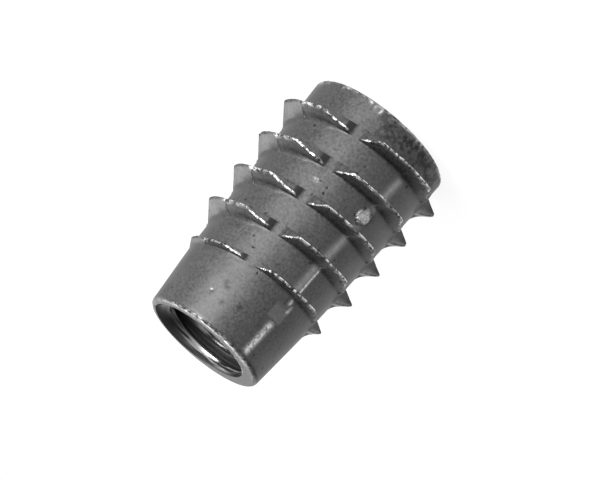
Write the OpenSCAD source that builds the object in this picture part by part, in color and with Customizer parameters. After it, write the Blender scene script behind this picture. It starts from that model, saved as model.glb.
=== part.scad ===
// Wood threaded insert: a die-cast zinc sleeve with a coarse outer thread for the wood,
// a metric bore for the bolt and a hexagon socket in the end that is driven.
// It stands on the driven end. The tapered nose that enters the wood points up.

/* [Body] */
// Overall length, driven end to nose
body_len = 15; // [12:0.5:25]
// Diameter at the driven end
drive_d = 8.44; // [8.2:0.02:9]
// Root diameter where the threaded shank meets the nose
shank_d = 7.58; // [7.4:0.02:8]
// Diameter at the tip of the nose
nose_d = 7; // [6.6:0.05:7.3]
// Length of the plain nose
nose_len = 3.6; // [3:0.1:4.5]
// Rounded lip of the nose, as a chamfer
lip = 0.18; // [0.05:0.01:0.3]
// Broken edge of the driven end
drive_edge = 0.12; // [0.05:0.01:0.3]

/* [Wood thread] */
// Pitch of the wood thread
pitch = 2.25; // [1.8:0.05:2.6]
// Crest diameter at the driven end
crest_d = 10.3; // [9.6:0.05:11]
// Half angle of the crest cone, which narrows towards the nose
crest_taper = 2.6; // [0:0.1:4]
// Width of the crest
crest_w = 0.1; // [0.04:0.01:0.2]
// Flank angle on the side of the nose, from the radius
nose_flank = 22; // [15:1:40]
// Flank angle on the side of the driven end, from the radius
drive_flank = 16; // [10:1:35]
// Height of the helix above the driven end, at angle 0
helix_z = 0.22; // [0:0.01:0.5]
// Number of thread ridges, four to a turn
ridge_count = 19; // [7:1:19]
// Number of ridges at the nose end that run out
runout_count = 3; // [1:1:5]
// Share of its height that the last ridge keeps at its middle
runout_keep = 0.4; // [0.3:0.05:1]

/* [Ridge ends] */
// Half angle of the bare strip between two ridges
strip_half = 3.25; // [2:0.25:6]
// Angle from the strip's middle at which the leading ramp reaches the crest
ramp_lead = 16.75; // [12:0.25:22]
// Angle from the strip's middle at which the trailing slope leaves the crest
ramp_trail = 26.5; // [16:0.5:30]
// Angle from the strip's middle to the top of the trailing step
step_angle = 8.5; // [4.5:0.25:10]
// Share of the ridge height at the top of the trailing step
step_share = 0.4; // [0.2:0.02:0.6]

/* [Bore and socket] */
// Minor diameter of the bolt thread
bore_d = 5; // [4.8:0.05:5.2]
// Diameter of the countersunk mouth at the nose
mouth_d = 5.6; // [5.3:0.02:6.2]
// Hexagon socket, across the flats
hex_af = 6; // [5:0.1:6.2]
// Depth of the hexagon socket
hex_depth = 5; // [3:0.1:7]

/* [Casting marks] */
// Diameter of the gate mark on the parting line
gate_d = 0.95; // [0.4:0.05:1.4]
// Height of the gate mark above the shank
gate_h = 0.07; // [0.03:0.01:0.2]
// Quarter of the body that carries the gate mark
gate_quarter = 2; // [0:1:3]
// Turn of the thread in front of which the gate mark sits
gate_turn = 2; // [1:1:3]
// Share of the pitch from that ridge to the gate mark
gate_share = 0.54; // [0.4:0.01:0.75]

/* [Hidden] */
$fn = 96;
ridges_per_turn = 4;
quarter = 360 / ridges_per_turn;
first_ridge = 1;
nose_z = body_len - nose_len;
// How far a ridge reaches into the shank, and how far a cut runs past what it cuts
sunk = 0.3;
past = 1;
hex_d = hex_af / cos(180 / 6);
mouth_depth = (mouth_d - bore_d) / 2;

function polar(r, a) = [r * cos(a), r * sin(a)];
function root_r(z) = z < nose_z
    ? drive_d / 2 + (shank_d - drive_d) / 2 * z / nose_z
    : shank_d / 2 + (nose_d - shank_d) / 2 * (z - nose_z) / nose_len;
function crest_r(z) = crest_d / 2 - z * tan(crest_taper);
function ridge_angle(i) = quarter / 2 + quarter * i;
function ridge_z(i) = helix_z + pitch * ridge_angle(i) / 360;
// Share of its full height that ridge i keeps, falling evenly over the run-out
function ridge_keep(i) = let (into = i - first_ridge - (ridge_count - runout_count) + 1)
    1 - (1 - runout_keep) * max(0, into) / runout_count;
function ridge_h(i) = ridge_keep(i) * (crest_r(ridge_z(i)) - root_r(ridge_z(i)));

// Section of the turned body: driven end, threaded shank, nose and its lip
module body_section() {
    polygon([
        [0, 0],
        [drive_d / 2 - drive_edge, 0],
        [root_r(drive_edge), drive_edge],
        [shank_d / 2, nose_z],
        [root_r(body_len - lip), body_len - lip],
        [nose_d / 2 - lip, body_len],
        [0, body_len],
    ]);
}

// Section of one ridge, with a steep flank below and a flatter one above
module ridge_section(root, crest) {
    inner = root - sunk;
    polygon([
        [inner, -crest_w / 2 - (crest - inner) * tan(drive_flank)],
        [crest, -crest_w / 2],
        [crest, crest_w / 2],
        [inner, crest_w / 2 + (crest - inner) * tan(nose_flank)],
    ]);
}

// Outline of one ridge along the axis: a leading ramp, and a trailing slope that ends in a step
module ridge_outline(root, crest) {
    edge = quarter / 2;
    lead_floor = polar(root, edge - strip_half);
    lead_top = polar(crest, edge - ramp_lead);
    trail_floor = polar(root, strip_half - edge);
    trail_step = polar(root + step_share * (crest - root), step_angle - edge);
    trail_top = polar(crest, ramp_trail - edge);
    polygon([
        [0, 0],
        trail_floor + (trail_floor - trail_step) / 2,
        trail_step,
        trail_top + (trail_top - trail_step),
        lead_top + (lead_top - lead_floor),
        lead_floor + (lead_floor - lead_top) / 4,
    ]);
}

// Ridge i lies along the helix: an arc of a ring, leaned by the lead angle
module ridge(i) {
    z = ridge_z(i);
    root = root_r(z);
    crest = root + ridge_h(i);
    fall = (ridge_h(i + 1) - ridge_h(i)) / (quarter / 2) * 180 / PI / 2;
    drift = ridge_keep(i) < 1 ? fall : 0;
    rotate(ridge_angle(i))
        translate([0, 0, z])
            rotate([atan(pitch / (PI * (root + crest))), 0, 0])
                intersection() {
                    translate([0, drift, 0])
                        rotate_extrude()
                            ridge_section(root, crest);
                    linear_extrude(2 * pitch, center = true)
                        ridge_outline(root, crest);
                }
}

// Stub where the casting was broken off its runner
module gate_mark() {
    angle = ridge_angle(gate_quarter);
    z = ridge_z(gate_quarter + ridges_per_turn * (gate_turn - 1)) + gate_share * pitch;
    rotate(angle)
        translate([0, 0, z])
            rotate([0, 90, 0])
                cylinder(h = root_r(z) + gate_h, d = gate_d);
}

// Bolt bore, its countersunk mouth at the nose and the hexagon socket below
module hollow() {
    translate([0, 0, hex_depth - past])
        cylinder(h = body_len - hex_depth + 2 * past, d = bore_d);
    translate([0, 0, body_len - mouth_depth])
        cylinder(h = mouth_depth + past, d1 = bore_d, d2 = mouth_d + 2 * past);
    translate([0, 0, -past])
        cylinder(h = hex_depth + past, d = hex_d, $fn = 6);
}

module insert_body() {
    color("dimgray")
        difference() {
            union() {
                rotate_extrude()
                    body_section();
                for (i = [first_ridge : first_ridge + ridge_count - 1])
                    ridge(i);
                gate_mark();
            }
            hollow();
        }
}

insert_body();
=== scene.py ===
import math

import bpy
import numpy as np
from mathutils import Matrix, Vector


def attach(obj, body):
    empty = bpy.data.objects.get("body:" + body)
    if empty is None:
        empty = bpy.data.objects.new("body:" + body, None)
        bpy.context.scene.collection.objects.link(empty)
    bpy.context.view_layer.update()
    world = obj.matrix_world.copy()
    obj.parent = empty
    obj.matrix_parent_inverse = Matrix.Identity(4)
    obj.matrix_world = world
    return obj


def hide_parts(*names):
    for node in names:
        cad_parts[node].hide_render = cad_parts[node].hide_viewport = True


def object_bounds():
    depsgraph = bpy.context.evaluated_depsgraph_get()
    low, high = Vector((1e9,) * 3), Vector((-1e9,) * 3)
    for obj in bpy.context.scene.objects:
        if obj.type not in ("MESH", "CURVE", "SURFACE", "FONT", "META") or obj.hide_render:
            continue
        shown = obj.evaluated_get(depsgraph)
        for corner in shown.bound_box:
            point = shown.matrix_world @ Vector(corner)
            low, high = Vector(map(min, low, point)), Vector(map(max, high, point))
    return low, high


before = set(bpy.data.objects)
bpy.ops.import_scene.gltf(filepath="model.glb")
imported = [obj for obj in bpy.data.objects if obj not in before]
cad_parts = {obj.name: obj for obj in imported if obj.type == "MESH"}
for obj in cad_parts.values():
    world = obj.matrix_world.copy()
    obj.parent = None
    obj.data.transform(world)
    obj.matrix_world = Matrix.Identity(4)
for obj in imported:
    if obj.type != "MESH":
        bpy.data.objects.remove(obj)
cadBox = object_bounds()
scene = bpy.context.scene
mm = 0.001  # sizes below are millimetres and degrees, the mesh is in metres
print("frame loaded, length", round((cadBox[1].z - cadBox[0].z) / mm, 2), "mm")

# start values of the random draws
seeds = {"chips": 11, "waves": 12, "dents": 13, "seam": 14, "stub": 15, "burr": 16}
anyPhase = (0.0, 6.3)  # radians, about a full turn
quarterTurn, halfQuarter = 90.0, 45.0  # degrees
spareTurns = 2  # turns of a helix that are worked out past both ends


def smoothStep(low, high, x):
    # cubic ease from 0 at low to 1 at high
    t = np.clip((x - low) / (high - low), 0.0, 1.0)
    return t * t * (3.0 - 2.0 * t)


def smoothMax(a, b, width):
    # the larger of two values, with a parabola where they differ by less than width
    h = np.maximum(width - np.abs(a - b), 0.0) / width
    return np.maximum(a, b) + h * h * width / 4.0


def hump(x):
    # e to the power of minus the square: a bell curve, 1 at 0
    return np.exp(-x ** 2)


def turnFrom(turn, angle):
    # degrees from an angle, between -180 and 180
    return (turn - angle + 180.0) % 360.0 - 180.0


def tangent(angle):
    # slope of an angle in degrees
    return math.tan(math.radians(angle))


def evenNoise(x, step, seed):
    # random values between 0 and 1 on an even row of points, joined by straight lines
    count = int(np.max(x) / step) + 3
    values = np.random.default_rng(seed).random(count)
    return np.interp(x, np.arange(count) * step, values)


def lumps(u, v, seed, count):
    # sum of sine waves in random directions over a surface, between about -1 and 1
    waveNumbers = (6.0, 18.0)
    rng = np.random.default_rng(seed)
    total = 0.0
    for _ in range(count):
        turn = rng.uniform(*anyPhase)
        size = rng.uniform(*waveNumbers)
        phase = rng.uniform(*anyPhase)
        total = total + np.sin(size * (u * math.cos(turn) + v * math.sin(turn)) + phase)
    return total / math.sqrt(count)


# the casting's wall: two tapers, a rounded lip at the nose and a broken edge at the driven end
casting = {
    "length": (cadBox[1].z - cadBox[0].z) / mm,
    "driveRadius": 4.22,
    "shankRadius": 3.79,
    "noseRadius": 3.5,
    "noseLength": 3.6,
    "lip": 0.18,
    "lipInset": 1.05,  # width of the lip as a share of its height
    "driveEdge": 0.12,
    "dentDepth": 0.07,  # dents along the edge of the driven end
    "dentCount": 121,
    "dentPower": 4,  # few of them are deep
    "dentFade": 0.5,  # share of a dent that is gone at the wall
    "edgeWear": 0.35,
    "wave": 0.002,  # height of each wave of the cast wall
    "waveCounts": (2, 3, 5, 9, 14, 22),  # waves round the wall
    "waveLean": (-2.4, 2.4),  # radians along each millimetre of the axis
    "rowGap": 0.03,  # least distance from the first and last thread row to the next ring
}
socket = {"acrossFlats": 6.0, "depth": 5.0}


def rootRadius(z):
    # two straight tapers that meet where the nose begins
    c = casting
    noseZ = c["length"] - c["noseLength"]
    return np.interp(z, (0.0, noseZ, c["length"]), (c["driveRadius"], c["shankRadius"], c["noseRadius"]))


def wallWaves(angle, z):
    # slow sine waves round the wall, each leaning along it by a random amount
    rng = np.random.default_rng(seeds["waves"])
    total = 0.0
    for around in casting["waveCounts"]:
        along = rng.uniform(*casting["waveLean"])
        phase = rng.uniform(*anyPhase)
        total = total + np.sin(around * np.radians(angle) + along * z + phase)
    return casting["wave"] * total


def edgeDents(angles):
    # a power of random values at even steps round the edge, joined by straight lines
    steps = casting["dentCount"]
    depths = np.random.default_rng(seeds["dents"]).random(steps) ** casting["dentPower"]
    return casting["dentDepth"] * np.interp(angles, np.linspace(0, 360, steps), depths, period=360)


def hexRadius(angles):
    # distance from the axis to the hexagon's wall
    return socket["acrossFlats"] / 2.0 / np.cos(np.radians(angles % 60.0 - 30.0))


# wood thread: quarter-turn ridges on one helix, each with a leading ramp and a trailing step
woodThread = {
    "pitch": 2.25,
    "crestRadius": 5.15,
    "crestTaper": 2.6,
    "crestWidth": 0.09,
    "noseFlank": 20.0,
    "driveFlank": 16.0,
    "leastFlank": 0.06,  # width that is kept for a flank's rows where a ridge is low
    "start": 0.22,  # height of the helix at angle 0
    "ridges": (1, 19),  # first and last quarter turn that carries a ridge
    "hidden": 0.3,  # depth under the wall of a ridge that isn't there
    "runout": 3,  # ridges at the nose that run out, and the share of their height that is left
    "runoutKeep": 0.4,
    "runoutLeast": 0.2,
    "stripHalf": 3.25,  # half angle of the bare strips
    "rampLead": 16.75,  # angles from the quarter's ends to the full height
    "rampTrail": 26.5,
    "stepAngle": 8.5,  # top of the trailing step, and its share of the height
    "stepShare": 0.4,
    "fillet": (0.14, 0.5),  # at the root of the nose flank, in even and odd quarters
    "filletReach": (0.25, 0.5),  # how far up the wall it is wide, and where it has narrowed
    "filletTall": (0.3, 0.6),  # ridge heights between which it widens
    "endFillet": 0.04,
    "chipDepth": 0.09,
    "chipStep": 0.16,  # spacing of the chips along the crest
    "chipPower": 3.0,  # few of them are deep
    "chipTall": (0.1, 0.5),  # ridge heights between which chips and burr come in
    "edgeRound": 0.025,
    "driveRound": 0.04,  # widths of the crest's rounded edges
    "noseRound": 0.035,
    "burr": 0.05,  # broken bead of metal along the crest's edge
    "burrWidth": 0.12,
    "burrMost": 0.85,  # largest share of the crest's width
    "burrStep": 0.2,
    "burrPower": 1.5,  # few of its beads are tall
    "burrReach": 0.05,  # length and height of the beads' bulge over the nose flank
    "burrBulge": 2.0,
    "burrTall": (0.05, 0.3),
    # the die's side slides shift the leading half of a ridge along the axis and lay its nose flank flatter
    "slideShift": (0.0, 0.13, 0.0, -0.3),
    "slideWiden": (0.0, 0.4, 0.0, 0.5),
    "slideEase": 28.0,  # angle over which this grows
    "halfWiden": 0.06,  # small step of the flank at a ridge's middle
}
# wear of the ridges
ridgeWear = {
    "proud": 0.08,  # height over the wall from which a ridge is worn
    "narrow": (0.06, 0.15),  # from a crest that is rubbed all over to one that is rubbed on its burr alone
    "near": 0.005,
    "reach": 0.03,  # down the nose flank, and how much further at a tall bead
    "beadReach": 0.07,
    "slideLoss": 0.95,  # share that is missing on the side slides
    "slideFade": (0.02, 0.15),  # added tangents of the flank between which it fades
    "slidFrom": (0.2, 0.35),  # added tangents from which a flank counts as the slide's own
    "edgeShade": 0.8,  # painted shade on the crest's edge over those flanks
    "rampQuarter": 1,  # quarter whose leading ramps have a facet of painted shade and one of painted light
    "rampShade": 0.95,
    "rampStart": 0.5,  # how far before the ramp this starts
    "rampSplit": (0.3, 0.65),
    "dullQuarter": 2,  # quarter whose trailing ends are hardly rubbed
    "dullAngles": (-18.0, -27.0),
    "dullShare": 0.8,
    "flankTall": (0.1, 0.5),
    "flankShares": (0.05, 0.97),  # part of the nose flank that has painted light of its own, and on the front flanks a rougher finish
    "footFade": (0.45, 0.9),
}
# columns over a quarter turn, closer at the ridge ends, the hexagon corners and the seam
quarterStops = (-45, -41.75, -36.5, -18.5, -8, 8, 18, 28.25, 41.75, 45)
quarterCounts = (2, 5, 14, 9, 24, 9, 8, 9, 2)
# rows over one pitch: crest, its burr, nose flank, valley, drive flank, as shares of each
pitchRows = (
    (0, 0.5),
    (0, 0.5),
    (0, 0.1, 0.3, 0.5, 0.7, 0.86, 0.95),
    (0, 0.03, 0.08, 0.16, 0.28, 0.4, 0.48, 0.56, 0.64, 0.72, 0.8, 0.88, 0.95),
    (0, 0.06, 0.16, 0.34, 0.54, 0.74, 0.9),
)


def columnAngles():
    # each stretch between two stops is shared out evenly, and the quarter is laid round four times
    pieces = [np.linspace(a, b, n, endpoint=False)
              for a, b, n in zip(quarterStops, quarterStops[1:], quarterCounts)]
    quarter = np.concatenate(pieces) - quarterStops[0]
    return np.concatenate([quarter + quarterTurn * i for i in range(4)])


def quarterOf(turns):
    # number of the quarter turn, 0 to 3, and the angle from its middle
    return np.floor(turns * 4.0).astype(int) % 4, (turns * 360.0) % quarterTurn - halfQuarter


def helixLength(turns):
    # length along the crest from the start of the helix
    return np.clip(turns, 0.0, None) * 2.0 * np.pi * woodThread["crestRadius"]


def rayToLine(angle, r1, a1, r2, a2):
    # distance from the axis to the line through two polar points, along a ray at this angle
    parallel, farAway = 1e-4, 99.0
    angle, a1, a2 = np.radians(angle), math.radians(a1), math.radians(a2)
    top = r1 * r2 * math.sin(a2 - a1)
    under = r2 * np.sin(a2 - angle) - r1 * np.sin(a1 - angle)
    ahead = under * np.sign(math.sin(a2 - a1)) > parallel
    return np.where(ahead, top / np.where(ahead, under, 1.0), farAway)


def ridgeTop(turns):
    # crest radius along the helix: full height, less the run-out, the two end slopes and the chips
    w = woodThread
    first, last = w["ridges"]
    ridge = np.floor(turns * 4.0)
    across = turns * 360.0 - (halfQuarter + quarterTurn * ridge)  # angle from the ridge's middle
    z = w["start"] + w["pitch"] * turns
    root = rootRadius(z)
    into = np.clip(turns * 4.0 - 0.5 - (last - w["runout"]), 0.0, None) / w["runout"]
    full = w["crestRadius"] - z * tangent(w["crestTaper"]) - root
    top = root + full * np.clip(1.0 - (1.0 - w["runoutKeep"]) * into, w["runoutLeast"], 1.0)
    step = root + w["stepShare"] * (top - root)
    floorAt, stepAt = halfQuarter - w["stripHalf"], w["stepAngle"] - halfQuarter
    leadAt, trailAt = halfQuarter - w["rampLead"], w["rampTrail"] - halfQuarter
    trail = np.where(across > stepAt, rayToLine(across, step, stepAt, top, trailAt),
                     rayToLine(across, root, -floorAt, step, stepAt))
    cut = np.minimum.reduce([top, rayToLine(across, root, floorAt, top, leadAt), trail])
    chip = w["chipDepth"] * evenNoise(helixLength(turns), w["chipStep"], seeds["chips"]) ** w["chipPower"]
    cut = cut - (w["burr"] + chip) * smoothStep(*w["chipTall"], cut - root)
    there = (ridge >= first) & (ridge <= last)
    lowest = root - w["hidden"]
    return np.maximum(np.where(there, cut, lowest), lowest), top, root


def burrShare(turns):
    # a power of random values along the crest, between 0 and 1
    w = woodThread
    return evenNoise(helixLength(turns), w["burrStep"], seeds["burr"]) ** w["burrPower"]


def slideOffset(turns):
    # how far the side slides move the crest along the axis, and the tangent that they add to the nose flank
    w = woodThread
    quarter, across = quarterOf(turns)
    ease = np.clip(across / w["slideEase"], 0.0, 1.0)
    shift = np.array(w["slideShift"])[quarter] * ease
    farHalf = across * (quarter % 2 * 2 - 1) > 0.0
    return shift, np.array(w["slideWiden"])[quarter] * ease + w["halfWiden"] * farHalf


def ridgeSection(turns):
    # section of the ridge: its top, and where each flank starts, leaves the crest's rows and meets the wall
    w = woodThread
    cut, top, root = ridgeTop(turns)
    shift, widen = slideOffset(turns)
    noseTan = tangent(w["noseFlank"]) + widen
    driveTan = tangent(w["driveFlank"])
    nose, drive = shift + w["crestWidth"] / 2.0, shift - w["crestWidth"] / 2.0
    sunk = top - np.maximum(cut, root)
    least = w["leastFlank"]
    return {
        "cut": cut,
        "height": cut - root,
        "widen": widen,
        "noseTan": noseTan,
        "noseAt": nose + (top - cut) * noseTan,
        "driveAt": drive - (top - cut) * driveTan,
        "noseIn": nose + sunk * noseTan,
        "driveIn": drive - sunk * driveTan,
        "noseOut": nose + np.maximum((top - root) * noseTan, sunk * noseTan + least),
        "driveOut": drive - np.maximum((top - root) * driveTan, sunk * driveTan + least),
    }


def flankRadius(section, along):
    # the ridge's top, less the fall down the nose flank and down the drive flank
    cut, nose, drive, noseTan = (section[k][:, None, :] for k in ("cut", "noseAt", "driveAt", "noseTan"))
    driveTan = tangent(woodThread["driveFlank"])
    return cut - np.maximum(along - nose, 0.0) / noseTan - np.maximum(drive - along, 0.0) / driveTan


def unslid(rows):
    # 1 away from the side slides, and the share of wear that is left on them
    return 1.0 - ridgeWear["slideLoss"] * smoothStep(*ridgeWear["slideFade"], np.abs(rows["widen"]))


def crestShape(rows):
    # beads of burr stand on the crest and bulge over the nose flank, and both edges are rounded off
    w = woodThread
    offset, drive, inner, nose = (rows[k] for k in ("offset", "drive", "inner", "nose"))
    past = offset - nose
    onBurr = np.clip(1.0 - np.abs(2.0 * (offset - inner) / (nose - inner) - 1.0), 0.0, 1.0)
    over = (past > 0.0) * hump(past / w["burrReach"])
    raised = w["burr"] * rows["bead"] * (onBurr + w["burrBulge"] * over * unslid(rows))
    nearDrive = np.clip((drive + w["driveRound"] - offset) / w["driveRound"], 0.0, 1.0)
    nearNose = np.clip((past + w["noseRound"]) / w["noseRound"], 0.0, 1.0)
    onCrest = (offset >= drive) & (offset <= nose)
    lowered = w["edgeRound"] * np.where(onCrest, (nearDrive + nearNose) ** 2, 0.0)
    return (raised - lowered) * rows["tall"]


def ridgeMarks(rows):
    # shares of rubbed crest, of the flank's painted light and rougher finish, and of painted shade on crest
    # edges and ramp facets, from the place in the ridge's section
    m = ridgeWear
    offset, drive, inner, nose = (rows[k] for k in ("offset", "drive", "inner", "nose"))
    quarter, across = quarterOf(rows["turns"])
    narrow = 1.0 - smoothStep(*m["narrow"], inner - drive)
    inBurr = np.where(offset > inner + m["near"], 1.0, narrow * (offset > inner - m["near"]))
    reach = m["reach"] + m["beadReach"] * rows["bead"]
    crest = inBurr * (1.0 - smoothStep(0.0, reach, offset - nose)) * rows["tall"]
    slid = smoothStep(*m["slidFrom"], rows["widen"])
    noseHalf = smoothStep(*m["rampSplit"], (offset - drive) / (nose - drive))
    rampAt = halfQuarter - m["rampStart"] - woodThread["rampLead"]
    onRamp = (offset >= drive) & (offset <= nose) & (quarter == m["rampQuarter"]) & (across > rampAt)
    # painted shade on the crest over slid flanks and on the drive half of the ramps' tops
    paintedRidgeShade = np.maximum(m["edgeShade"] * crest * slid, m["rampShade"] * onRamp * (1.0 - noseHalf))
    down = (offset - nose) / (rows["foot"] - nose)
    onFlank = (down > m["flankShares"][0]) & (down < m["flankShares"][1])
    # painted light on the nose flank, and further down on the nose half of the ramps' tops
    flank = onFlank * smoothStep(*m["flankTall"], rows["high"])
    flank = flank * (1.0 - (1.0 - slid) * smoothStep(*m["footFade"], down))
    dull = (quarter == m["dullQuarter"]) * smoothStep(*m["dullAngles"], across)
    return {
        "crest": crest * unslid(rows) * (1.0 - m["dullShare"] * dull),
        "flank": np.maximum(flank, onRamp * noseHalf),
        "paintedRidgeShade": paintedRidgeShade,
    }


def rootFillet(rows, angles):
    # wide under the nose flank of a tall ridge, narrow everywhere else
    w = woodThread
    under = 1.0 - smoothStep(*w["filletReach"], rows["offset"] - rows["foot"])
    wide = np.array(w["fillet"])[np.floor(angles / quarterTurn).astype(int) % 2]
    return w["endFillet"] + (wide - w["endFillet"]) * smoothStep(*w["filletTall"], rows["high"]) * under


def outerRows(angles):
    # the ridge's section along the helix, with rows between the edges of crest, burr, flanks and valley
    w, pitch = woodThread, woodThread["pitch"]
    whole = int(casting["length"] / pitch)
    turns = np.arange(-spareTurns, whole + spareTurns)[:, None] + angles[None, :] / 360.0
    here, after = ridgeSection(turns), ridgeSection(turns + 1.0)
    burrIn = here["noseIn"] - np.minimum(w["burrWidth"], w["burrMost"] * (here["noseIn"] - here["driveIn"]))
    edges = (here["driveIn"], burrIn, here["noseIn"], here["noseOut"],
             pitch + after["driveOut"], pitch + after["driveIn"])
    offset = np.stack([edges[q] + f * (edges[q + 1] - edges[q])
                       for q, shares in enumerate(pitchRows) for f in shares], axis=1)  # turn, row, column
    rows = {"offset": offset, "turns": turns, "bead": burrShare(turns), "widen": here["widen"],
            "high": here["height"], "tall": smoothStep(*w["burrTall"], here["height"]),
            "drive": edges[0], "inner": edges[1], "nose": edges[2], "foot": edges[3]}
    rows = {name: v if name == "offset" else v[:, None, :] for name, v in rows.items()}
    z = w["start"] + pitch * rows["turns"] + offset
    ridge = np.maximum(flankRadius(here, offset), flankRadius(after, offset - pitch)) + crestShape(rows)
    flat = (-1, len(angles))
    marks = {name: v.reshape(flat) for name, v in ridgeMarks(rows).items()}
    return z.reshape(flat), ridge.reshape(flat), rootFillet(rows, angles).reshape(flat), marks


# marks of the die on the wall: seams, the stub of the runner and a flat that was ground on the nose
seam = {
    "offset": 45.0,
    "halfWidth": 0.16,
    "height": 0.02,
    "broken": (0.55, 0.45),  # mean share of that height, and how much it varies
    "waves": 6,
    "ease": 0.25,  # length over which a mark of the seam fades at its ends
    # the front seam: a bright line, a paler band, a rubbed strip on the nose, painted shade on the wall on
    # both sides
    "line": {"angle": 223.0, "half": 0.05, "span": (8.7, 10.7)},
    "band": {"heights": (2.0, 7.2, 9.0), "angles": (221.5, 225.0, 227.0), "half": 0.24, "span": (2.1, 10.9)},
    "bandGap": 0.7,  # half length of the band's gap at the stub
    "strip": {"angle": 223.4, "half": 0.18, "span": (12.5, 14.85)},
    # painted shade on the wall beside the front seam
    "dull": {"angle": 223.5, "half": 1.35, "span": (0.5, 14.9)},
    "paintedShadeProud": 0.12,  # what stands out further than this gets no painted shade
}
gateStub = {
    "angle": 225.0,
    "z": 5.1,
    "radius": 0.47,
    "height": 0.085,
    "edge": 0.08,
    "rough": 0.035,  # height of its broken face, with its waves' size round the wall and number
    "grain": 4.0,
    "waves": 8,
}
trimFlat = {
    "angle": 225.0,
    "z": 11.95,
    "sink": 0.035,
    "halfLength": 0.55,
    "ease": 0.12,
    "reach": 30.0,  # angle to each side over which the flat is worked out
    "halfAngle": 7.5,
    "pale": 0.35,
}


def gateShare(angles, z, radius):
    # 1 on the stub where the runner was broken off, easing to 0 at its edge
    g = gateStub
    away = np.hypot(np.radians(angles - g["angle"]) * radius, z - g["z"])
    return 1.0 - smoothStep(g["radius"] - g["edge"], g["radius"], away)


def trimShare(z):
    # 1 along the ground flat, easing to 0 at both of its ends
    t = trimFlat
    return 1.0 - smoothStep(t["halfLength"] - t["ease"], t["halfLength"], np.abs(z - t["z"]))


def seamArc(angles, radius):
    # length along the wall from the nearest seam
    return np.radians((angles - seam["offset"] + halfQuarter) % quarterTurn - halfQuarter) * radius


def outerRadius(angles, z, ridge, fillet):
    # wall with seam, ground flat and stub, joined to the ridge by a fillet
    g, t = gateStub, trimFlat
    wall = rootRadius(z) + wallWaves(angles, z)
    mean, spread = seam["broken"]
    broken = mean + spread * lumps(z, 0.0 * z, seeds["seam"], seam["waves"])
    wall = wall + seam["height"] * broken * hump(seamArc(angles, wall) / seam["halfWidth"])
    turn = np.radians(np.clip(angles - t["angle"], -t["reach"], t["reach"]))
    flat = (rootRadius(t["z"]) - t["sink"]) / np.cos(turn) + (rootRadius(z) - rootRadius(t["z"]))
    wall = np.where(flat < wall, wall + trimShare(z) * (flat - wall), wall)
    rough = g["rough"] * lumps(np.radians(angles) * g["grain"], z, seeds["stub"], g["waves"])
    wall = wall + gateShare(angles, z, wall) * (g["height"] + rough)
    return smoothMax(wall, ridge, fillet)


# bolt thread in the bore, and the mouth where its groove runs out through the end face
boltThread = {
    "pitch": 1.0,
    "minorRadius": 2.5,
    "majorRadius": 3.0,
    "openAngle": 20.0,  # where its groove runs out
    "fade": 0.4,  # length over which it begins at the socket
    "edge": 0.06,
    "edgeMore": 0.16,  # the mouth's chamfer is deeper on the side where the tap came out
    "rim": 0.03,  # least width of the face outside the mouth
    "rowGap": 0.02,
    # section over one pitch, from one crest's lower edge: place along the axis, depth as a share
    "places": (-0.625, -0.46, -0.38, -0.3, -0.0625, 0.0625),
    "depths": (0.0, 0.07, 0.16, 0.32, 1.0, 1.0),
}
# rubbed place at the end of the nose: middle and half width round the axis, wear of mouth, lip and face
rubbedNose = {"angle": 258.0, "half": 50.0, "mouth": 1.0, "lip": 0.9, "face": 0.03}


def boreRadius(angles, z):
    # bolt thread: rounded crest, sloped flanks, flat groove that opens at the nose, fading at the socket
    b = boltThread
    along = (z - casting["length"]) / b["pitch"] - (angles - b["openAngle"]) / 360.0
    depth = np.interp(along, b["places"], b["depths"], period=1.0)
    depth = depth * smoothStep(0.0, b["fade"], z - socket["depth"])
    return b["minorRadius"] + (b["majorRadius"] - b["minorRadius"]) * depth


def boreRows(angles):
    # rows that follow the edges of the bolt thread's groove
    b = boltThread
    whole = int((casting["length"] - socket["depth"]) / b["pitch"]) + 1
    turns = np.arange(-spareTurns, whole + spareTurns)[:, None, None] + np.array(b["places"])[None, :, None]
    low = casting["length"] - b["pitch"] * whole
    z = low + b["pitch"] * (turns + (angles[None, None, :] - b["openAngle"]) / 360.0)
    z = z.reshape(-1, len(angles))
    return z, boreRadius(angles[None, :], z)


castSlot, tappedSlot = 0, 1  # the casting's two materials
wearNames = ("crest", "flank", "paintedRidgeShade")


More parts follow.
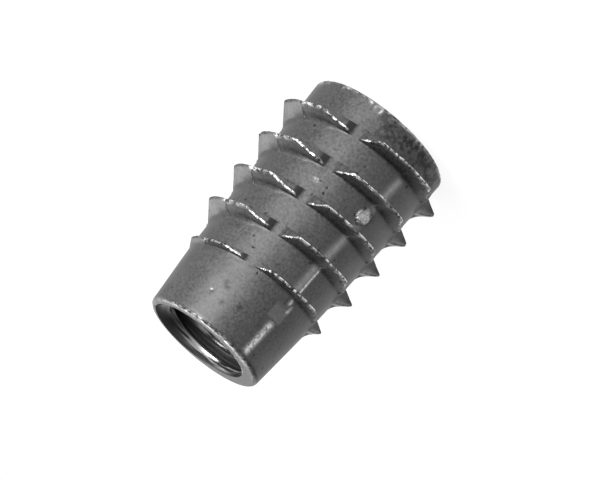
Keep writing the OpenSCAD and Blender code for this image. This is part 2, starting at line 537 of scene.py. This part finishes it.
class Skin:
    # gathers rings and rows of points, the triangles between them and the wear at each point
    def __init__(self, angles):
        self.angles = angles
        self.points, self.faces, self.slots = [], [], []
        self.wear = {name: [] for name in wearNames}
        self.count = 0

    def add(self, radius, z, angles=None, **wear):
        # points at these radii and heights; wear that isn't given is 0
        turn = np.radians(self.angles if angles is None else angles)
        self.points.append(np.stack([radius * np.cos(turn), radius * np.sin(turn), z + 0.0 * radius], -1))
        for name, kept in self.wear.items():
            kept.append(wear.get(name, 0.0 * radius))
        index = self.count + np.arange(len(radius))
        self.count += len(radius)
        return index

    def quads(self, index, slot, flip=False):
        # the last column of index repeats the first, so that the skin is closed round the axis
        a, b, c, d = index[:-1, :-1], index[:-1, 1:], index[1:, 1:], index[1:, :-1]
        order = (a, d, c, b) if flip else (a, b, c, d)
        a, b, c, d = (v.reshape(-1) for v in order)
        tris = np.concatenate([np.stack([a, b, c], 1), np.stack([a, c, d], 1)])
        same = (tris[:, 0] == tris[:, 1]) | (tris[:, 1] == tris[:, 2]) | (tris[:, 2] == tris[:, 0])
        self.faces.append(tris[~same])
        self.slots.append(np.full(np.count_nonzero(~same), slot))

    def rings(self, rings, slot):
        # plain rings, each joined to the next
        self.quads(np.stack([np.append(r, r[0]) for r in rings]), slot)

    def coil(self, z, radius, span, lowRing, highRing, rowsPerTurn, slot, flip=False, **wear):
        # rows of a helix: the last column meets the first one turn on; points past an end take its ring's
        low, high = span
        inside = (z > low) & (z < high)
        index = np.where(z <= low, lowRing[None, :], highRing[None, :])
        angles = np.broadcast_to(self.angles, z.shape)[inside]
        wear = {name: values[inside] for name, values in wear.items()}
        index[inside] = self.add(radius[inside], z[inside], angles, **wear)
        last = np.concatenate([index[rowsPerTurn:, 0], np.full(rowsPerTurn, highRing[0])])
        self.quads(np.concatenate([index, last[:, None]], axis=1), slot, flip)


def castingSkin():
    # rings and helix rows from the driven end up the outside, over the nose and down the bore to the socket
    c, b, n = casting, boltThread, rubbedNose
    angles = columnAngles()
    skin = Skin(angles)
    ones = np.ones(len(angles))
    top, lipZ = c["length"], c["length"] - c["lip"]
    quarterArc = np.radians((0.0, 30.0, 60.0, 90.0))
    rubbed = hump(turnFrom(angles, n["angle"]) / n["half"])

    # driven end: the broken edge of its flat ring
    dents = edgeDents(angles)
    edgeR = rootRadius(c["driveEdge"])
    edgeWear = c["edgeWear"] * ones
    driveRings = []
    for t in quarterArc:
        dented = edgeR - c["driveEdge"] * (1 - math.sin(t)) - dents * (1 - c["dentFade"] * math.sin(t))
        driveRings.append(skin.add(dented, c["driveEdge"] * (1 - math.cos(t)), crest=edgeWear))

    # wood thread, shank and nose, up to the lip
    z, ridge, fillet, marks = outerRows(angles)
    radius = outerRadius(angles[None, :], z, ridge, fillet)
    proud = radius - rootRadius(z) > ridgeWear["proud"]
    inset = c["lip"] * c["lipInset"]
    lipShares = (0.0, 0.2, 1.0, 1.0)  # wear over the lip
    lipRings = [skin.add((rootRadius(lipZ) - inset * (1 - math.cos(t))) * ones,
                         lipZ + c["lip"] * math.sin(t),
                         crest=f * n["lip"] * rubbed) for t, f in zip(quarterArc, lipShares)]
    skin.coil(z, radius, (c["driveEdge"] + c["rowGap"], lipZ - c["rowGap"]), driveRings[-1], lipRings[0],
              sum(len(r) for r in pitchRows), castSlot, **{name: v * proud for name, v in marks.items()})

    # end face, to the mouth whose edge follows the bolt thread's open groove
    chamfer = b["edge"] + b["edgeMore"] * np.clip(np.cos(np.radians(angles - b["openAngle"])), 0.0, 1.0)
    boreTop = top - b["edge"] - b["edgeMore"] - b["rowGap"]
    lipR = rootRadius(lipZ) - inset
    mouthR = np.minimum(boreRadius(angles, top) + chamfer, lipR - b["rim"])
    faceShares = ((0.08, n["lip"]), (0.5, n["face"]), (0.92, n["face"]), (1.0, n["mouth"]))
    faceRings = [skin.add(lipR + f * (mouthR - lipR), top, crest=wear * rubbed) for f, wear in faceShares]
    chamferRing = skin.add(boreRadius(angles, top - chamfer), top - chamfer)
    boreRing = skin.add(boreRadius(angles, boreTop), boreTop)
    skin.rings(lipRings + faceRings, castSlot)
    skin.rings([faceRings[-1], chamferRing, boreRing], tappedSlot)

    # socket: floor, hexagon wall and the flat ring of the driven end
    hexR = hexRadius(angles)
    outR = edgeR - c["driveEdge"] - dents
    floorRings = [skin.add(b["minorRadius"] * (1 - f) + hexR * f, socket["depth"])
                  for f in (0.0, 0.15, 0.9, 1.0)]
    wallRings = [skin.add(hexR, socket["depth"] * f) for f in (0.96, 0.6, 0.3, 0.0)]
    endRings = [skin.add(hexR + f * (outR - hexR), 0.0) for f in (0.06, 0.5, 0.94)]
    skin.rings(floorRings + wallRings + endRings + driveRings, castSlot)

    # tapped bore
    z, radius = boreRows(angles)
    skin.coil(z, radius, (socket["depth"] + b["rowGap"], boreTop - b["rowGap"]), floorRings[0], boreRing,
              len(b["places"]), tappedSlot, flip=True)
    return skin


# finish of the casting, with painted light and shade: marks that the materials read at each point
# small marks of the wall: angle, height, half length round the wall, half length along it
brightMarks = (
    (271.5, 5.35, 0.17, 0.05), (223.5, 11.15, 0.1, 0.15), (219.5, 11.5, 0.08, 0.14),
    (281.5, 13.35, 0.05, 0.04), (303.0, 0.2, 0.05, 0.1), (298.0, 0.14, 0.12, 0.05),
    (276.5, 0.16, 0.1, 0.07), (271.0, 0.22, 0.05, 0.12), (267.0, 0.3, 0.05, 0.12),
)
pitsAndPaintedShadows = (
    (272.0, 12.82, 0.2, 0.12), (275.0, 12.6, 0.13, 0.12), (280.0, 13.45, 0.1, 0.12),
    (267.5, 13.6, 0.11, 0.13), (253.0, 13.25, 0.13, 0.12), (226.8, 11.2, 0.13, 0.05),
    # painted shade: a crescent of painted shadow beside the stub, and a dark line of painted shade along the
    # lip
    (217.8, 5.0, 0.08, 0.4), (190.0, 14.88, 1.7, 0.06),
)
finish = {
    "skinDepth": 0.15,  # what lies deeper under the outer wall belongs to the bore and the socket
    "evenFlank": 0.45,  # share of the flank's painted light and rougher finish in even quarters
    "stain": {"angle": 220.0, "sides": (0.5, 0.9), "heights": (2.6, 0.6)},
    "step": {"margin": 0.2, "foot": 0.02, "ease": 0.04},  # painted shade on the face of the ridges' trailing step
    "sharp": 40.0,  # edges with a larger angle are sharp
}
# painted shade in the mouth: in its rim away from the rubbed side, in one corner and on the first groove's
# far side
mouthPaintedShade = {
    "rim": {"radii": (2.85, 3.05), "depths": (0.8, 0.6), "fromRubbed": (45.0, 75.0)},
    "corner": {"angle": 152.0, "half": 34.0, "depths": (0.4, 0.1)},
    "farSide": {"angle": 30.0, "half": 32.0, "radii": (2.44, 2.56), "depths": (1.4, 1.1), "share": 0.95},
}


def between(z, span):
    # 1 inside a span along the axis, easing to 0 at its ends
    low, high = span
    return smoothStep(low, low + seam["ease"], z) * (1.0 - smoothStep(high - seam["ease"], high, z))


def besideSeam(place, angle, part):
    # rounded hump across the wall at this angle, along the part's span
    turn, around, z = place
    return hump(np.radians(turn - angle) * around / part["half"]) * between(z, part["span"])


def spots(place, base, marks):
    # rounded humps, 1 in the middle of each mark's ellipse on the wall, laid over a base
    turn, around, z = place
    for angle, height, halfArc, halfRise in marks:
        arc = np.radians(turn - angle) * around
        base = np.maximum(base, hump(arc / halfArc) * hump((z - height) / halfRise))
    return base


def seamValues(place):
    # bright marks, pale band and painted shade on the wall beside the front seam
    turn, around, z = place
    line, band, strip, dull = (seam[k] for k in ("line", "band", "strip", "dull"))
    bright = np.maximum(besideSeam(place, line["angle"], line), besideSeam(place, strip["angle"], strip))
    pale = besideSeam(place, np.interp(z, band["heights"], band["angles"]), band)
    pale = pale * (1.0 - hump((z - gateStub["z"]) / seam["bandGap"]))
    onFlat = (np.abs(turn - trimFlat["angle"]) < trimFlat["halfAngle"]) * trimShare(z)
    return {
        "seamMark": spots(place, bright, brightMarks),
        "seamBand": np.maximum(pale, trimFlat["pale"] * onFlat),
        "seamPaintedShade": besideSeam(place, dull["angle"], dull) * (around < rootRadius(z) + seam["paintedShadeProud"]),
    }


def mouthShadeShare(place):
    # the most of three patches of painted shade, each easing in by angle, radius and depth below the end
    # face
    turn, around, z = place
    depth = casting["length"] - z
    rim, corner, far = (mouthPaintedShade[k] for k in ("rim", "corner", "farSide"))
    onRim = smoothStep(*rim["radii"], around) * smoothStep(*rim["depths"], depth)
    onRim = onRim * smoothStep(*rim["fromRubbed"], np.abs(turnFrom(turn, rubbedNose["angle"])))
    inCorner = hump(turnFrom(turn, corner["angle"]) / corner["half"]) * smoothStep(*corner["depths"], depth)
    onFar = hump(turnFrom(turn, far["angle"]) / far["half"]) * smoothStep(*far["radii"], around)
    onFar = far["share"] * onFar * smoothStep(*far["depths"], depth)
    return np.maximum.reduce([onRim, inCorner, onFar])


def finishValues(skin, points):
    # values for the materials, outside and in the bore, from each point's angle, radius and height
    w, b = woodThread, boltThread
    turn = np.degrees(np.arctan2(points[:, 1], points[:, 0])) % 360.0
    around = np.hypot(points[:, 0], points[:, 1])
    z = points[:, 2]
    place = (turn, around, z)
    wear = {name: np.concatenate(values) for name, values in skin.wear.items()}
    sideSlide = np.abs((turn + quarterTurn) % (2.0 * quarterTurn) - quarterTurn) < halfQuarter
    odd = np.floor(turn / quarterTurn).astype(int) % 2 == 1
    stain, step = finish["stain"], finish["step"]
    stainSide = smoothStep(*stain["sides"], np.cos(np.radians(turn - stain["angle"])))
    # painted shade on the faces of the trailing steps
    stepMiddle = (w["stripHalf"] + w["stepAngle"]) / 2.0
    stepHalf = (w["stepAngle"] - w["stripHalf"]) / 2.0 + step["margin"]
    onStep = np.abs(turn % quarterTurn - stepMiddle) < stepHalf
    paintedStepShade = onStep * smoothStep(0.0, step["ease"], around - rootRadius(z) - step["foot"])
    outer = {
        "gateMark": gateShare(turn, z, around),
        "stain": smoothStep(*stain["heights"], z) * stainSide,
        "paintedShadeAndPits": spots(place, np.maximum(paintedStepShade, wear["paintedRidgeShade"]), pitsAndPaintedShadows),
        **seamValues(place),
    }
    bore = {
        "boreDepth": (around - b["minorRadius"]) / (b["majorRadius"] - b["minorRadius"]),
        "mouthPaintedShade": mouthShadeShare(place),
    }
    outside = around > rootRadius(z) - finish["skinDepth"]
    return {
        "crestWear": wear["crest"],
        "slideFlankPaintedLight": wear["flank"] * sideSlide * odd,
        "frontFlankPaintedLightAndRough": wear["flank"] * np.where(odd, ~sideSlide, finish["evenFlank"]),
        **{name: values * outside for name, values in outer.items()},
        **{name: values * ~outside for name, values in bore.items()},
    }


def buildCasting():
    # one closed mesh from the skin's points and triangles, with the finish and the painted light and shade
    # as values at the points
    skin = castingSkin()
    points = np.concatenate(skin.points)
    faces = np.concatenate(skin.faces).astype(np.int32)
    mesh = bpy.data.meshes.new("insertCasting")
    mesh.vertices.add(len(points))
    mesh.vertices.foreach_set("co", (points * mm).astype(np.float32).ravel())
    mesh.loops.add(faces.size)
    mesh.loops.foreach_set("vertex_index", faces.ravel())
    mesh.polygons.add(len(faces))
    mesh.polygons.foreach_set("loop_start", np.arange(0, faces.size, 3, dtype=np.int32))
    mesh.polygons.foreach_set("material_index", np.concatenate(skin.slots).astype(np.int32))
    mesh.polygons.foreach_set("use_smooth", np.ones(len(faces), dtype=bool))
    for name, values in finishValues(skin, points).items():
        layer = mesh.attributes.new(name, "FLOAT", "POINT")
        layer.data.foreach_set("value", np.clip(values, 0.0, 1.0).astype(np.float32))
    mesh.update(calc_edges=True)
    mesh.validate()
    mesh.set_sharp_from_angle(angle=math.radians(finish["sharp"]))
    piece = bpy.data.objects.new("insertCasting", mesh)
    scene.collection.objects.link(piece)
    print("casting:", len(points), "points,", len(faces), "triangles")
    return piece


# node helpers
def fill(tree, target, source):
    # link a node's output, or set a plain value
    if isinstance(source, bpy.types.NodeSocket):
        tree.links.new(source, target)
    else:
        target.default_value = source


def addNode(tree, kind, links=(), **values):
    # a node with its settings, and its inputs by name or number
    node = tree.nodes.new(kind)
    for key, value in values.items():
        setattr(node, key, value)
    for key, source in dict(links).items():
        fill(tree, node.inputs[key], source)
    return node


def combine(tree, operation, *values):
    # arithmetic on two or three values
    return addNode(tree, "ShaderNodeMath", dict(enumerate(values)), operation=operation).outputs[0]


def multiply(tree, a, b):
    # product of two values
    return combine(tree, "MULTIPLY", a, b)


def mixTone(tree, low, high, share):
    # straight blend of two tones
    links = {"Factor": share, 2: low, 3: high}
    return addNode(tree, "ShaderNodeMix", links, data_type="FLOAT", clamp_factor=True).outputs[0]


def lift(tree, value, low, high, bottom=0.0, top=1.0):
    # straight line from bottom at low to top at high, held at both ends
    links = {"Value": value, "From Min": low, "From Max": high, "To Min": bottom, "To Max": top}
    return addNode(tree, "ShaderNodeMapRange", links).outputs["Result"]


def noise(tree, where, scale, detail, roughness=0.5):
    # layered noise over the coordinates, around 0.5
    links = {"Vector": where, "Scale": scale, "Detail": detail, "Roughness": roughness}
    return addNode(tree, "ShaderNodeTexNoise", links).outputs["Fac"]


def readValue(tree, name):
    # one of the casting's own values
    return addNode(tree, "ShaderNodeAttribute", attribute_name=name).outputs["Fac"]


def newMaterial(name, metal):
    # a material with its shader and the object's own coordinates
    mat = bpy.data.materials.new(name)
    mat.use_nodes = True
    tree = mat.node_tree
    shader = tree.nodes["Principled BSDF"]
    shader.inputs["Metallic"].default_value = metal
    return mat, tree, shader.inputs, addNode(tree, "ShaderNodeTexCoord").outputs["Object"]


# cast grain: slow mottling, fine grain and scattered pits
grainLook = {
    "Mottle Scale": 900.0,
    "Grain Scale": 7000.0,
    "Pit Scale": 1500.0,
    "mottle": (4.0, 0.6),  # detail and roughness of the noise
    "grain": (3.0, 0.55),
    "pitSizes": (0.07, 0.17),  # dark middle and edge of a pit, as shares of its cell
    "pitMottle": (0.48, 0.54),  # mottling between which pits come in
}


def castGrainGroup():
    # mottle and grain are noise over the coordinates; pits are the middles of random cells in light mottle
    tree = bpy.data.node_groups.new("castGrain", "ShaderNodeTree")
    tree.interface.new_socket("Vector", in_out="INPUT", socket_type="NodeSocketVector")
    for label in ("Mottle Scale", "Grain Scale", "Pit Scale"):
        item = tree.interface.new_socket(label, in_out="INPUT", socket_type="NodeSocketFloat")
        item.default_value = grainLook[label]
    for label in ("Mottle", "Grain", "Pits"):
        tree.interface.new_socket(label, in_out="OUTPUT", socket_type="NodeSocketFloat")
    given = tree.nodes.new("NodeGroupInput").outputs
    out = tree.nodes.new("NodeGroupOutput").inputs
    mottle = noise(tree, given["Vector"], given["Mottle Scale"], *grainLook["mottle"])
    grain = noise(tree, given["Vector"], given["Grain Scale"], *grainLook["grain"])
    cells = addNode(tree, "ShaderNodeTexVoronoi", {"Vector": given["Vector"], "Scale": given["Pit Scale"]})
    pits = lift(tree, cells.outputs["Distance"], *grainLook["pitSizes"], 1.0, 0.0)
    tree.links.new(mottle, out["Mottle"])
    tree.links.new(grain, out["Grain"])
    tree.links.new(multiply(tree, pits, lift(tree, mottle, *grainLook["pitMottle"])), out["Pits"])
    return tree


# cast zinc: dark skin, and bright metal on rubbed edges, the seam and the broken stub; painted light on the
# nose flanks, and painted shade on ridge edges, ramp facets, trailing steps and beside the seam
castLook = {
    "metal": 1.0,
    "skin": (0.075, 0.154),  # darkest and lightest tone of the cast skin
    "skinNoise": (0.43, 0.87),
    "mottleShare": 0.3,  # mottle that is added to the grain
    "dull": 0.78,  # share of the tone that is left under the painted shade beside the seam
    "gap": 0.05,  # tone between the beads of a rubbed edge
    "gapBeads": (0.0, 0.3),
    "gapShare": 0.7,
    "worn": 0.95,
    "beadNoise": (0.41, 0.53),
    "beadLeast": 0.05,
    "stretchNoise": (0.36, 0.54),  # stretches of an edge that are rubbed more, and less
    "stretchLeast": 0.3,
    "rough": (0.4, 0.56),
    "roughNoise": (0.3, 0.7),
    "flankRough": 0.6,
    "wornRough": 0.2,
    "grainHeight": 0.000008,
    "pitDepth": -2.0,  # as a share of the grain's height
    "beadHeight": 0.00004,
    # scale, detail and roughness of the noises that break up the marks
    "noises": {"beads": (4200.0, 2.0), "stretch": (1400.0, 1.0), "streaks": (6500.0, 3.0, 0.65),
               "patches": (3000.0, 4.0, 0.65)},
    # marks in the order in which they are laid on: tone, noise that breaks it up, its range, least share
    "marks": {
        # painted light: the nose flanks are lighter than the skin; the front flanks are rougher as well
        "slideFlankPaintedLight": (0.24, "skin", (0.5, 0.8), 0.3),
        "frontFlankPaintedLightAndRough": (0.255, "skin", (0.5, 0.8), 0.6),
        "stain": (0.035, "patches", (0.42, 0.6), 0.1),
        # painted shade on crest edges, ramp facets and trailing steps, together with pits
        "paintedShadeAndPits": (0.05, None, None, 1.0),
        "pits": (0.03, None, None, 0.9),
        "seamBand": (0.32, "streaks", (0.3, 0.7), 0.5),
        "seamMark": (0.8, "streaks", (0.34, 0.56), 0.2),
        "gateMark": (0.5, "streaks", (0.35, 0.6), 0.3),
    },
}


def castZinc(grainTree):
    # tone: the skin, each mark by its share, then the beads of rubbed edges; roughness and height follow
    look = castLook
    mat, tree, inputs, where = newMaterial("castZinc", look["metal"])
    grain = addNode(tree, "ShaderNodeGroup", {"Vector": where}, node_tree=grainTree).outputs
    noises = {name: noise(tree, where, *values) for name, values in look["noises"].items()}
    noises["skin"] = combine(tree, "MULTIPLY_ADD", grain["Mottle"], look["mottleShare"], grain["Grain"])
    values = {name: grain["Pits"] if name == "pits" else readValue(tree, name) for name in look["marks"]}
    rubbed = readValue(tree, "crestWear")

    tone = lift(tree, noises["skin"], *look["skinNoise"], *look["skin"])
    # painted shade: the wall beside the front seam is darkened
    tone = multiply(tree, tone, lift(tree, readValue(tree, "seamPaintedShade"), 0.0, 1.0, 1.0, look["dull"]))
    for name, (markTone, noiseName, span, least) in look["marks"].items():
        share = lift(tree, noises[noiseName], *span, least, 1.0) if noiseName else least
        tone = mixTone(tree, tone, markTone, multiply(tree, values[name], share))
    bead = multiply(tree, lift(tree, noises["beads"], *look["beadNoise"], look["beadLeast"], 1.0),
                    lift(tree, noises["stretch"], *look["stretchNoise"], look["stretchLeast"], 1.0))
    gap = lift(tree, bead, *look["gapBeads"], look["gapShare"], 0.0)
    tone = mixTone(tree, tone, look["gap"], multiply(tree, rubbed, gap))
    bead = multiply(tree, rubbed, bead)
    tree.links.new(mixTone(tree, tone, look["worn"], bead), inputs["Base Color"])

    rough = lift(tree, grain["Grain"], *look["roughNoise"], *look["rough"])
    rough = mixTone(tree, rough, look["flankRough"], values["frontFlankPaintedLightAndRough"])
    tree.links.new(mixTone(tree, rough, look["wornRough"], bead), inputs["Roughness"])

    height = combine(tree, "MULTIPLY_ADD", grain["Pits"], look["pitDepth"], grain["Grain"])
    fine = addNode(tree, "ShaderNodeBump", {"Height": height, "Distance": look["grainHeight"]})
    raised = combine(tree, "MAXIMUM", rubbed, values["gateMark"])
    coarse = addNode(tree, "ShaderNodeBump", {
        "Height": multiply(tree, raised, noises["beads"]), "Distance": look["beadHeight"],
        "Normal": fine.outputs["Normal"]})
    tree.links.new(coarse.outputs["Normal"], inputs["Normal"])
    return mat


# tapped zinc: drag marks round the crests of the bolt thread, painted shade deeper in the groove and in the
# mouth
tappedLook = {
    "metal": 0.6,
    "drag": (0.02, 0.68),  # darkest and lightest tone of the drag marks
    "dragNoise": (0.43, 0.62),
    "dragMarks": (8000.0, 3.0, 0.6),  # scale, detail and roughness of the noise
    "dragStretch": (0.07, 0.07, 1.0),
    "paintedGrooveShade": 0.14,
    "grooveDepths": (0.12, 0.6),
    "grooveShadeShare": 0.88,
    "mouthShade": 0.01,
    "mouthShadeRough": 0.95,
    "rough": (0.2, 0.32),
    "roughNoise": (0.2, 0.8),
}


def tappedZinc(grainTree):
    # noise drawn out round the axis, then painted shade by the groove's depth, then painted shade in the
    # mouth, which is rough as well
    look = tappedLook
    mat, tree, inputs, where = newMaterial("tappedZinc", look["metal"])
    grain = addNode(tree, "ShaderNodeGroup", {"Vector": where}, node_tree=grainTree).outputs
    around = addNode(tree, "ShaderNodeMapping", {"Vector": where, "Scale": look["dragStretch"]})
    drag = noise(tree, around.outputs["Vector"], *look["dragMarks"])
    mouthShade = readValue(tree, "mouthPaintedShade")
    # painted shade deeper in the groove
    deep = lift(tree, readValue(tree, "boreDepth"), *look["grooveDepths"], 0.0, look["grooveShadeShare"])
    tone = mixTone(tree, lift(tree, drag, *look["dragNoise"], *look["drag"]), look["paintedGrooveShade"], deep)
    # painted shade in the mouth
    tree.links.new(mixTone(tree, tone, look["mouthShade"], mouthShade), inputs["Base Color"])
    rough = lift(tree, grain["Grain"], *look["roughNoise"], *look["rough"])
    tree.links.new(mixTone(tree, rough, look["mouthShadeRough"], mouthShade), inputs["Roughness"])
    return mat


insert = buildCasting()
grainTree = castGrainGroup()
insert.data.materials.append(castZinc(grainTree))
insert.data.materials.append(tappedZinc(grainTree))
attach(insert, "root")
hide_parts("insert_body")
print("materials set")


# camera: lengths of the picture are in its points, 600 to its width
shot = {
    "middle": (0.0, 0.0, 7.5),
    "frontAngle": 257.4,  # side of the insert that faces the camera
    "lean": 49.926,  # turn of the picture, axis against its horizontal
    "lookDown": 16.301,
    "focalPoints": 5566.978,
    "pointsPerMm": 18.955,
    "offset": (-8.2365, -1.9415),
    "imageWidth": 600,
    "sensor": 36.0,
    "clipStart": 0.01,
}


def photoAxes():
    # picture axes (right, down, away) in the object's frame, from the insert's axis, front and right
    lean, down, front = (math.radians(shot[k]) for k in ("lean", "lookDown", "frontAngle"))
    tail = np.array((math.cos(lean) * math.cos(down), -math.sin(lean) * math.cos(down), math.sin(down)))
    facing = np.array((0.0, 0.0, -1.0))
    facing = facing - facing.dot(tail) * tail
    facing /= np.linalg.norm(facing)
    right = np.cross(facing, tail)
    right *= np.sign(right[0])
    return (np.outer(tail, (0.0, 0.0, -1.0)) + np.outer(facing, (math.cos(front), math.sin(front), 0.0))
            + np.outer(right, (math.sin(front), -math.cos(front), 0.0)))


def placed(name, data, axes, place):
    # a camera or lamp with these axes as its own, in millimetres from the object's origin
    turned = np.eye(4)
    turned[:3, :3] = np.stack(axes, axis=1)
    turned[:3, 3] = place * mm
    item = bpy.data.objects.new(name, data)
    item.matrix_world = Matrix(turned.tolist())
    scene.collection.objects.link(item)
    return item


def addCamera():
    # stands back from the insert's middle along the picture's axes
    right, down, away = axes = photoAxes()
    steps = np.array((*shot["offset"], shot["focalPoints"])) / shot["pointsPerMm"]
    data = bpy.data.cameras.new("camera")
    data.sensor_width = shot["sensor"]
    data.sensor_fit = "HORIZONTAL"
    data.lens = shot["focalPoints"] / shot["imageWidth"] * shot["sensor"]
    data.clip_start = shot["clipStart"]
    scene.camera = placed("camera", data, (right, -down, -away), np.array(shot["middle"]) - axes.T @ steps)


# studio: angles are measured from the camera's side, plus is to the right in the picture
studio = {
    "world": 0.335,
    "floorTone": 0.22,
    "floorLift": 0.88,  # light of the white paper, as the camera and the metal see it
    "floorHalf": 1.5,  # metres
    "floorDrop": 0.00002,
}
lamps = {  # side, angle above the floor, distance, width and height of the panel, glow
    "keyPanel": (-34.0, 10.0, 160.0, (140.0, 70.0), 8.0),
    "backPanelLeft": (-150.0, 26.0, 110.0, (110.0, 80.0), 1.8),
    "backPanelRight": (165.0, 12.0, 110.0, (90.0, 50.0), 1.6),
    "sidePanelLeft": (-100.0, 8.0, 160.0, (90.0, 60.0), 1.6),
    "topLamp": (-45.0, 54.0, 110.0, (40.0, 34.0), 8.0),
}


def addLamp(name, side, rise, distance, size, glow):
    # an even panel that faces the insert; power is glow times pi times area
    turn, rise = math.radians(shot["frontAngle"] - side), math.radians(rise)
    outward = np.array((math.cos(turn), math.sin(turn), 0.0))
    across = np.array((-math.sin(turn), math.cos(turn), 0.0))
    toLamp = math.cos(rise) * outward + np.array((0.0, 0.0, math.sin(rise)))
    light = bpy.data.lights.new(name, "AREA")
    light.shape = "RECTANGLE"
    light.size, light.size_y = (s * mm for s in size)
    light.energy = glow * math.pi * light.size * light.size_y
    panel = placed(name, light, (across, np.cross(toLamp, across), toLamp),
                   np.array(shot["middle"]) + distance * toLamp)
    panel.visible_camera = False


def addFloor():
    # a square of pale paper that looks white to the camera and to the metal
    half, z = studio["floorHalf"], -studio["floorDrop"]
    corners = [(x * half, y * half, z) for x, y in ((-1, -1), (1, -1), (1, 1), (-1, 1))]
    mesh = bpy.data.meshes.new("floor")
    mesh.from_pydata(corners, [], [(0, 1, 2, 3)])
    floor = bpy.data.objects.new("floor", mesh)
    scene.collection.objects.link(floor)
    mat = bpy.data.materials.new("paleFloor")
    mat.use_nodes = True
    tree = mat.node_tree
    tree.nodes.clear()
    rays = addNode(tree, "ShaderNodeLightPath").outputs
    seen = combine(tree, "MAXIMUM", rays["Is Camera Ray"], rays["Is Glossy Ray"])
    seen = combine(tree, "MAXIMUM", seen, rays["Is Transmission Ray"])
    tone = studio["floorTone"]
    plain = addNode(tree, "ShaderNodeBsdfDiffuse", {"Color": (tone, tone, tone, 1.0)})
    glow = addNode(tree, "ShaderNodeEmission", {"Strength": multiply(tree, seen, studio["floorLift"])})
    both = addNode(tree, "ShaderNodeAddShader", {0: plain.outputs[0], 1: glow.outputs[0]})
    addNode(tree, "ShaderNodeOutputMaterial", {"Surface": both.outputs[0]})
    mesh.materials.append(mat)


addCamera()
for lampName, lampValues in lamps.items():
    addLamp(lampName, *lampValues)
addFloor()
world = bpy.data.worlds.new("studioWorld")
world.use_nodes = True
background = world.node_tree.nodes["Background"].inputs
background["Color"].default_value = (1.0, 1.0, 1.0, 1.0)
background["Strength"].default_value = studio["world"]
scene.world = world
scene.view_settings.view_transform = "Standard"
print("camera and studio set")
